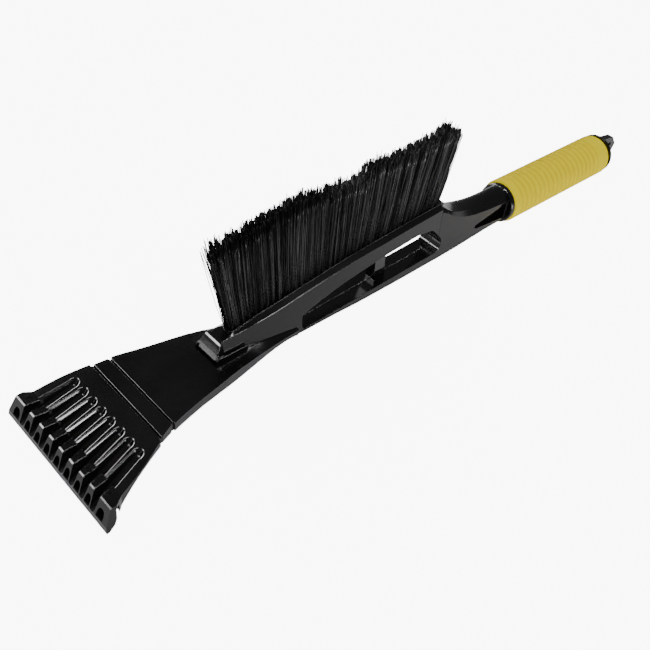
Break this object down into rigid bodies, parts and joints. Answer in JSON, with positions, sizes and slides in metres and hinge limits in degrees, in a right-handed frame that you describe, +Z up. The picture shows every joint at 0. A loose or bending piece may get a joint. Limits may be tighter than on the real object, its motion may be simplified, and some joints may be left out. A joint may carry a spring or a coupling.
{
  "type": "windshield ice scraper",
  "caption": "Hand tool with a flared toothed ice scraper blade, a snow brush along its open handle and a ribbed foam grip with a hanging lug.",
  "frame": {"origin": "centre of the bounding box's base: the flat surface that the blade's edge and the grip's end rest on", "axes": "+X runs back from the blade's edge to the hanging lug, +Y across the blade, +Z up through the bristles"},
  "size_m": [0.551, 0.1072, 0.118],
  "materials": {
    "head_plastic": "gloss black moulded plastic",
    "body_plastic": "gloss black moulded plastic",
    "block_plastic": "satin black moulded plastic",
    "bristle": "black filaments with ragged tips",
    "anchor_metal": "plain cut wire",
    "grip_foam": "yellow closed-cell foam, shallow ribs",
    "cap_plastic": "satin black moulded plastic"
  },
  "bodies": {
    "root": {"scraper_head": "head_plastic", "handle_body": "body_plastic", "brush_block": "block_plastic", "bristle_row_1": "bristle", "bristle_row_2": "bristle", "bristle_row_3": "bristle", "anchor_row_1": "anchor_metal", "anchor_row_2": "anchor_metal", "anchor_row_3": "anchor_metal", "foam_grip": "grip_foam", "end_cap": "cap_plastic"}
  },
  "joints": []
}
